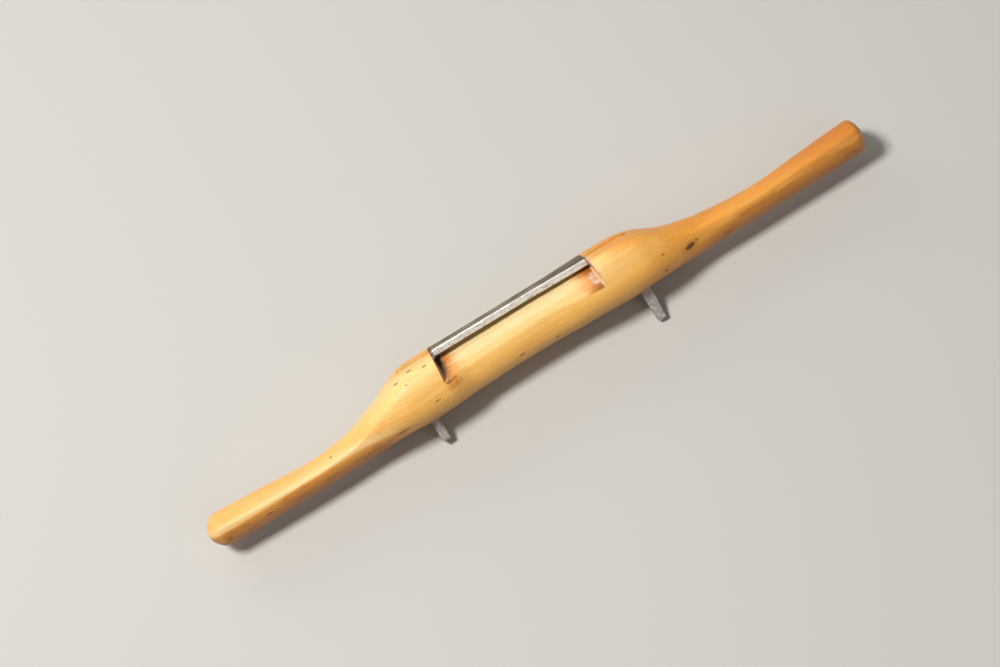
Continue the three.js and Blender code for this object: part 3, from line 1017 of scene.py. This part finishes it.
    def dark_marks(self, colour):
        """The knot with its halo, and small dark marks. Gives the colour and the marks."""
        edge = (self.grain(0.9, 0.5, seed=5) - 0.5) * 1.3
        tilted = self.seen + (self.x - KNOT[0]) * KNOT_TILT
        marks = self.spot(self.x, tilted, KNOT[:2], KNOT[2:], edge) * self.on_back
        halo_size = (KNOT[2] * 2.0, KNOT[3] * 2.0)
        halo = self.spot(self.x, tilted, KNOT[:2], halo_size, edge) * self.on_back
        colour = self.mix(colour, BROWN, halo * 0.25)
        for speck in SPECKS + [STREAK]:
            spot = self.spot(self.x, self.seen, speck[:2], speck[2:], edge)
            marks = marks + spot * self.on_back * 0.7
        marks = self.step(marks, 0.0, 1.0)
        return self.mix(colour, KNOT_BROWN, marks * 0.85), marks


def boxwood():
    wood = Boxwood()
    colour = wood.patina()
    colour = wood.handle_wear_and_painted_light(colour)
    colour = wood.fresh_ramp(colour)
    colour = wood.ramp_stains(colour)
    colour = wood.wall_stains(colour)
    colour = wood.scorched_corner(colour)
    colour = wood.darker_toe(colour)
    colour = wood.grain_tone(colour)
    colour, marks = wood.dark_marks(colour)
    pores = wood.step(wood.grain(2.2, 0.22, seed=2, detail=1), 0.68, 0.78)
    colour = wood.mix(colour, BROWN, pores * 0.4)

    streaks, fine, blotches = wood.streaks, wood.fine, wood.blotches
    wood.set(
        Base_Color=colour,
        Roughness=0.47 + (streaks - 0.5) * 0.25 + (blotches - 0.5) * 0.2 + marks * 0.15,
    )
    wood.surface.inputs["Specular IOR Level"].default_value = 0.42
    wood.surface.inputs["Coat Weight"].default_value = 0.08
    wood.surface.inputs["Coat Roughness"].default_value = 0.4
    relief = streaks * 0.5 + fine * 0.5 + blotches * 0.7 - marks * 0.8 - pores * 0.5
    wood.bump(relief, strength=0.45, distance=0.13 * MM)
    return wood.material


# Steel colours.
BRIGHT_STEEL = rgb(242, 240, 234)
DARK_STEEL = rgb(74, 60, 42)
BROWN_STEEL = rgb(156, 140, 112)
TANG_STEEL = rgb(176, 168, 166)
PALE_STEEL = rgb(222, 220, 216)
RUST = rgb(110, 78, 52)


def forged_steel():
    steel = Shader("forged_steel")
    x, y, z = steel.x, steel.y, steel.z
    first, second = (share * steel.step(x, start, end) for share, start, end in LIFT_STEPS)
    height = z - BLADE_LIFT * (first + second) + BLADE_PROUD
    mottle = steel.grain(2.4, 0.7, seed=4, detail=4)
    stains = steel.grain(7, 4, seed=8, detail=3)
    patches = steel.grain(1.1, 1.3, seed=6, detail=4)
    pitting = steel.grain(0.7, 0.5, seed=9, detail=3)
    scratches = steel.grain(7, 0.12, seed=1, detail=2)

    on_blade = steel.step(x, BLADE_LEFT, BLADE_LEFT + 0.1)
    on_blade = on_blade * steel.step(x, BLADE_RIGHT, BLADE_RIGHT - 0.1)
    back = steel.step(y, IRON_BACK - 0.75, IRON_BACK - 0.45) * on_blade
    on_pad = steel.step(z, PAD_SINK + 0.35, PAD_SINK + 0.12) * (1 - on_blade)
    sole = steel.step(height, 0.35, 0.12) * (1 - back) + on_pad
    tang = steel.step(z, TANG_ROOT + 0.6, TANG_ROOT + 1.8)
    pits = steel.step(pitting, 0.58, 0.70)

    sole_tint = steel.mix(BROWN_STEEL, DARK_STEEL, steel.step(stains, 0.74, 0.26))
    sole_tint = steel.mix(sole_tint, DARK_STEEL, steel.step(x, 0, 26) * 0.6)
    back_tint = steel.mix(BRIGHT_STEEL, BROWN_STEEL, steel.step(mottle, 0.52, 0.70) * 0.7)
    tang_tint = steel.mix(TANG_STEEL, PALE_STEEL, steel.step(patches, 0.52, 0.66) * 0.7)
    tang_tint = steel.mix(tang_tint, BROWN_STEEL, steel.step(patches, 0.46, 0.34) * 0.8)
    tang_tint = steel.mix(tang_tint, RUST, steel.step(z, 24.5, 21.5) * 0.35)
    colour = steel.mix(TANG_STEEL, sole_tint, sole)
    colour = steel.mix(colour, back_tint, back * (1 - tang))
    colour = steel.mix(colour, tang_tint, tang)
    rust = steel.step(mottle, 0.60, 0.74) * (1 - back) * (1 - sole * 0.5)
    colour = steel.mix(colour, RUST, rust * 0.4)
    colour = steel.mix(colour, DARK_STEEL, pits * (0.6 - tang * 0.25))

    steel.set(
        Base_Color=colour,
        Metallic=0.9 - sole * 0.5 - tang * 0.25,
        Roughness=0.36 + sole * 0.15 + tang * 0.12 + (mottle - 0.5) * (0.3 - sole * 0.15),
    )
    relief = mottle * (0.6 - sole * 0.45) + patches * 0.1 + scratches * 0.2 - pits * 0.7
    steel.bump(relief, strength=0.5, distance=0.1 * MM)
    return steel.material


# ---------------------------------------------------------------------------
# Surroundings
# ---------------------------------------------------------------------------


WARM_WHITE = (1.0, 0.97, 0.92)
SOFT_WHITE = (1.0, 0.98, 0.95)
WORLD_STRENGTH = 0.16
FLOOR_COLOUR = (0.55, 0.54, 0.52, 1)
LIT_POINT = Vector((0, 0, 0.01))


def area_light(name, place, size, power, colour):
    """A soft light aimed at the tool. Place and size are in metres."""
    data = bpy.data.lights.new(name, "AREA")
    data.shape = "RECTANGLE"
    data.size, data.size_y = size
    data.energy = power
    data.color = colour
    lamp = bpy.data.objects.new(name, data)
    lamp.location = place
    lamp.rotation_euler = (LIT_POINT - Vector(place)).to_track_quat("-Z", "Y").to_euler()
    bpy.context.scene.collection.objects.link(lamp)


def floor_under(height):
    bpy.ops.mesh.primitive_plane_add(size=6, location=(0, 0, height))
    floor = bpy.context.object
    floor.name = "floor"
    material = bpy.data.materials.new("floor")
    material.use_nodes = True
    surface = material.node_tree.nodes["Principled BSDF"]
    surface.inputs["Base Color"].default_value = FLOOR_COLOUR
    surface.inputs["Roughness"].default_value = 0.9
    floor.data.materials.append(material)


# Angles in degrees, distance and shift in metres, lens and sensor in mm.
CAMERA = {
    "azimuth": -4.0,
    "elevation": 65.719,
    "roll": 28.0,
    "distance": 0.8605,
    "lens": 55,
    "sensor": 22.3,
    "aim_shift": (-0.01063, 0.005495, -0.0005),
}


def aim_camera(low, high):
    """The camera at the photograph's angle, aimed near the middle of the box low to high."""
    a, e, r = (math.radians(CAMERA[key]) for key in ("azimuth", "elevation", "roll"))
    back = Vector((math.sin(a) * math.cos(e), -math.cos(a) * math.cos(e), math.sin(e)))
    level = Vector((math.cos(a), math.sin(a), 0))
    upright = back.cross(level)
    right = math.cos(r) * level - math.sin(r) * upright
    up = math.sin(r) * level + math.cos(r) * upright
    data = bpy.data.cameras.new("camera")
    data.lens = CAMERA["lens"]
    data.sensor_width = CAMERA["sensor"]
    data.clip_start = 0.01
    camera = bpy.data.objects.new("camera", data)
    target = (low + high) / 2 + Vector(CAMERA["aim_shift"])
    pose = Matrix((right, up, back)).transposed().to_4x4()
    pose.translation = target + back * CAMERA["distance"]
    camera.matrix_world = pose
    bpy.context.scene.collection.objects.link(camera)
    bpy.context.scene.camera = camera


def light_scene():
    world = bpy.data.worlds.new("studio")
    world.use_nodes = True
    background = world.node_tree.nodes["Background"]
    background.inputs["Color"].default_value = (*SOFT_WHITE, 1)
    background.inputs["Strength"].default_value = WORLD_STRENGTH
    bpy.context.scene.world = world
    area_light("key", (-0.42, 0.13, 1.12), (0.26, 0.26), 14, WARM_WHITE)
    area_light("sole_side", (-0.3, 1.1, 0.55), (1.1, 0.7), 4, SOFT_WHITE)
    area_light("fill", (0.2, -0.9, 0.8), (0.9, 0.7), 1.6, WARM_WHITE)


# ---------------------------------------------------------------------------
# Assembly
# ---------------------------------------------------------------------------

stock = make_stock()
stock.data.materials.append(boxwood())
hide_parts("stock")
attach(stock, "stock")

iron = make_iron()
iron.data.materials.append(forged_steel())
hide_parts("iron")
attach(iron, "iron")

floor_under(0.0)
light_scene()
aim_camera(*(Vector(corner) for corner in cad_box))
bpy.context.scene.view_settings.view_transform = "Standard"
